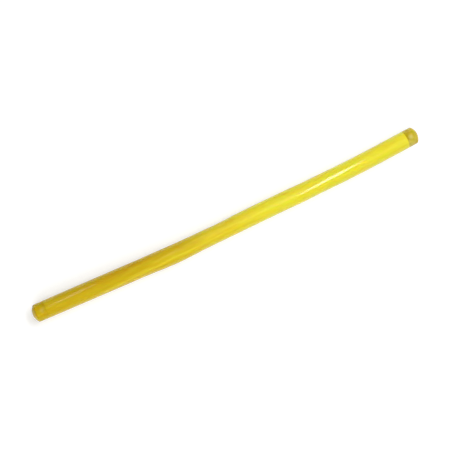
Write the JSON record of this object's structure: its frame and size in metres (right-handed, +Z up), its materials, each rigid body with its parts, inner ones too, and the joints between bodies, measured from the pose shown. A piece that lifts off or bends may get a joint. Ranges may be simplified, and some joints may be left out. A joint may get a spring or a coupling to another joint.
{
  "type": "swing trainer stick",
  "caption": "Slim, slightly bowed training stick: a clear yellow plastic tube filled by a soft core, with a domed push-in plug closing each end.",
  "frame": {"origin": "centre of the stick's outline, on the surface that it lies on", "axes": "+X along the stick towards the end with the short straight run, +Y the way both ends bow, +Z up"},
  "size_m": [0.3, 0.0169, 0.0127],
  "materials": {
    "sleeve": "clear, glossy, drawn tube",
    "core": "cloudy, soft, smooth",
    "plug": "clear, satin, moulded"
  },
  "bodies": {
    "stick": {"outer_sleeve": "sleeve", "core_rod": "core"},
    "left_plug": {"left_end_plug": "plug"},
    "right_plug": {"right_end_plug": "plug"}
  },
  "joints": [
    {"name": "left_plug_pull", "type": "slide", "parent": "stick", "child": "left_plug", "axis": [-0.9991, 0.0419, 0], "range_m": [0, 0.0125]},
    {"name": "right_plug_pull", "type": "slide", "parent": "stick", "child": "right_plug", "axis": [0.9991, 0.0419, 0], "range_m": [0, 0.0125]}
  ]
}
